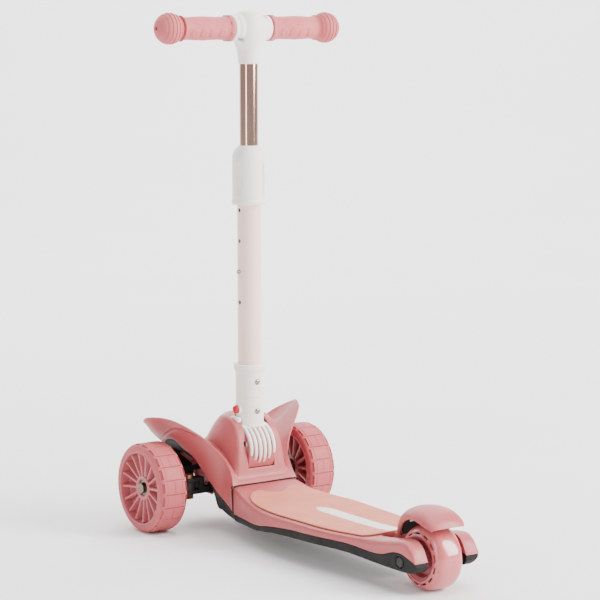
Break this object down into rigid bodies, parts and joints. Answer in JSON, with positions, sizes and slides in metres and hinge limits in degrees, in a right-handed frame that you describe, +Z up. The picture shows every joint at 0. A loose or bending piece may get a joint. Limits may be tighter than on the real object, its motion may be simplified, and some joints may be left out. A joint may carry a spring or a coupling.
{
  "type": "kick scooter",
  "caption": "Child's three-wheeled folding kick scooter: lean-to-steer front truck, anti-slip deck, foot brake, folding column with adjustable T handlebar.",
  "frame": {"origin": "on the ground under the middle of the scooter's bounding box", "axes": "+X to the rider's right, +Y forwards, +Z up"},
  "size_m": [0.285, 0.568, 0.6946],
  "materials": {
    "pink_shell": "satin moulded",
    "black_plastic": "fine spark texture",
    "pad_peach": "anti-slip texture",
    "stripe_clear": "translucent white",
    "steel_plate": "brushed",
    "zinc_screw": "bright",
    "brass_bolt": "bright",
    "white_plastic": "satin moulded",
    "red_button": "gloss",
    "tube_pink": "pearl",
    "rose_chrome": "mirror",
    "bar_steel": "mirror",
    "grip_pink": "soft matte",
    "wheel_pink": "cast polyurethane",
    "rim_pink": "satin moulded",
    "rear_pu": "translucent gloss polyurethane",
    "core_white": "translucent",
    "beam_black": "black coated"
  },
  "bodies": {
    "frame": {"deck_base": "black_plastic", "deck_shell": "pink_shell", "deck_pad": "pad_peach", "deck_stripe": "stripe_clear", "deck_spine": "steel_plate", "deck_screws": "zinc_screw", "seam_strip": "black_plastic", "hood": "pink_shell", "hood_nose": "black_plastic", "hood_liner": "black_plastic", "fold_bracket": "steel_plate", "fold_pin": "zinc_screw", "detent_disc": "steel_plate", "steer_post": "zinc_screw", "lean_shaft": "zinc_screw", "lean_springs": "zinc_screw", "rear_axle": "zinc_screw", "rear_nut": "zinc_screw", "rear_spacers": "zinc_screw", "brake_pin": "zinc_screw", "brake_spring": "zinc_screw"},
    "truck": {"axle_beam": "beam_black", "kingpins": "brass_bolt", "kingpin_nuts": "brass_bolt"},
    "tie_rod": {"tie_rod": "steel_plate"},
    "rear_wheel": {"rear_tyre": "rear_pu", "rear_core": "core_white", "rear_bearings": "zinc_screw"},
    "brake": {"rear_fender": "pink_shell", "brake_plate": "steel_plate"},
    "column": {"column_base": "white_plastic", "base_screws": "zinc_screw", "hinge_comb": "white_plastic", "button_spring": "zinc_screw", "lower_tube": "tube_pink", "collet": "white_plastic"},
    "fold_button": {"fold_button": "red_button"},
    "latch": {"latch_tongue": "zinc_screw"},
    "collar": {"clamp_collar": "white_plastic"},
    "handlebar": {"upper_tube": "rose_chrome", "snap_spring": "zinc_screw", "t_head": "white_plastic", "handlebars": "bar_steel", "grip_left": "grip_pink", "grip_right": "grip_pink"},
    "snap_button": {"snap_button": "zinc_screw"},
    "knuckle_left": {"knuckle_left": "beam_black", "axle_bolt_left": "zinc_screw", "axle_spacer_left": "zinc_screw"},
    "front_wheel_left": {"front_tyre_left": "wheel_pink", "front_rim_left": "rim_pink", "front_bearings_left": "zinc_screw"},
    "handle_peg_left": {"handle_peg_left": "grip_pink"},
    "knuckle_right": {"knuckle_right": "beam_black", "axle_bolt_right": "zinc_screw", "axle_spacer_right": "zinc_screw"},
    "front_wheel_right": {"front_tyre_right": "wheel_pink", "front_rim_right": "rim_pink", "front_bearings_right": "zinc_screw"},
    "handle_peg_right": {"handle_peg_right": "grip_pink"}
  },
  "joints": [
    {"name": "lean", "type": "hinge", "parent": "frame", "child": "truck", "pos_m": [0, 0.197, 0.052], "axis": [0, 1, 0], "range_deg": [-8, 8], "stiffness_Nm_per_rad": 60, "deforming": ["lean_springs"]},
    {"name": "tie_slide", "type": "slide", "parent": "truck", "child": "tie_rod", "axis": [1, 0, 0], "range_m": [-0.004, 0.004]},
    {"name": "steer_left", "type": "hinge", "parent": "truck", "child": "knuckle_left", "pos_m": [-0.08, 0.197, 0.06], "axis": [0, 0, 1], "range_deg": [-10, 10]},
    {"name": "steer_right", "type": "hinge", "parent": "truck", "child": "knuckle_right", "pos_m": [0.08, 0.197, 0.06], "axis": [0, 0, 1], "range_deg": [-10, 10]},
    {"name": "wheel_left", "type": "hinge", "parent": "knuckle_left", "child": "front_wheel_left", "pos_m": [-0.1205, 0.224, 0.06], "axis": [1, 0, 0], "continuous": true},
    {"name": "wheel_right", "type": "hinge", "parent": "knuckle_right", "child": "front_wheel_right", "pos_m": [0.1205, 0.224, 0.06], "axis": [1, 0, 0], "continuous": true},
    {"name": "wheel_rear", "type": "hinge", "parent": "frame", "child": "rear_wheel", "pos_m": [0, -0.228, 0.04], "axis": [1, 0, 0], "continuous": true},
    {"name": "brake_press", "type": "hinge", "parent": "frame", "child": "brake", "pos_m": [0, -0.172, 0.038], "axis": [1, 0, 0], "range_deg": [0, 6], "stiffness_Nm_per_rad": 3, "springref_deg": -6.88, "deforming": ["brake_spring"]},
    {"name": "fold", "type": "hinge", "parent": "frame", "child": "column", "pos_m": [0, 0.168, 0.11], "axis": [1, 0, 0], "range_deg": [0, 85]},
    {"name": "fold_press", "type": "slide", "parent": "column", "child": "fold_button", "axis": [1, 0, 0], "range_m": [0, 0.003], "stiffness_N_per_m": 600, "springref_m": -0.003, "deforming": ["button_spring"]},
    {"name": "latch_lift", "type": "slide", "parent": "column", "child": "latch", "axis": [0, 0, 1], "range_m": [0, 0.003]},
    {"name": "collar_twist", "type": "hinge", "parent": "column", "child": "collar", "pos_m": [0, 0.168, 0.475], "axis": [0, 0, 1], "range_deg": [0, 90]},
    {"name": "height", "type": "slide", "parent": "column", "child": "handlebar", "axis": [0, 0, 1], "range_m": [-0.0411, 0.0822], "deforming": ["snap_button", "snap_spring"]},
    {"name": "snap_press", "type": "slide", "parent": "handlebar", "child": "snap_button", "axis": [1, 0, 0], "range_m": [0, 0.004], "stiffness_N_per_m": 400, "springref_m": -0.003, "deforming": ["snap_spring"]},
    {"name": "peg_press_left", "type": "slide", "parent": "handlebar", "child": "handle_peg_left", "axis": [0, 0.6, 0.8], "range_m": [0, 0.003], "stiffness_N_per_m": 400, "springref_m": -0.003},
    {"name": "peg_press_right", "type": "slide", "parent": "handlebar", "child": "handle_peg_right", "axis": [0, 0.6, -0.8], "range_m": [0, 0.003], "stiffness_N_per_m": 400, "springref_m": -0.003}
  ],
  "couplings": [
    {"joint": "tie_slide", "follows": "lean", "m_per_rad": -0.028},
    {"joint": "steer_left", "follows": "lean", "ratio": 1.25},
    {"joint": "steer_right", "follows": "lean", "ratio": 1.25},
    {"joint": "latch_lift", "follows": "fold_press", "ratio": 1}
  ]
}
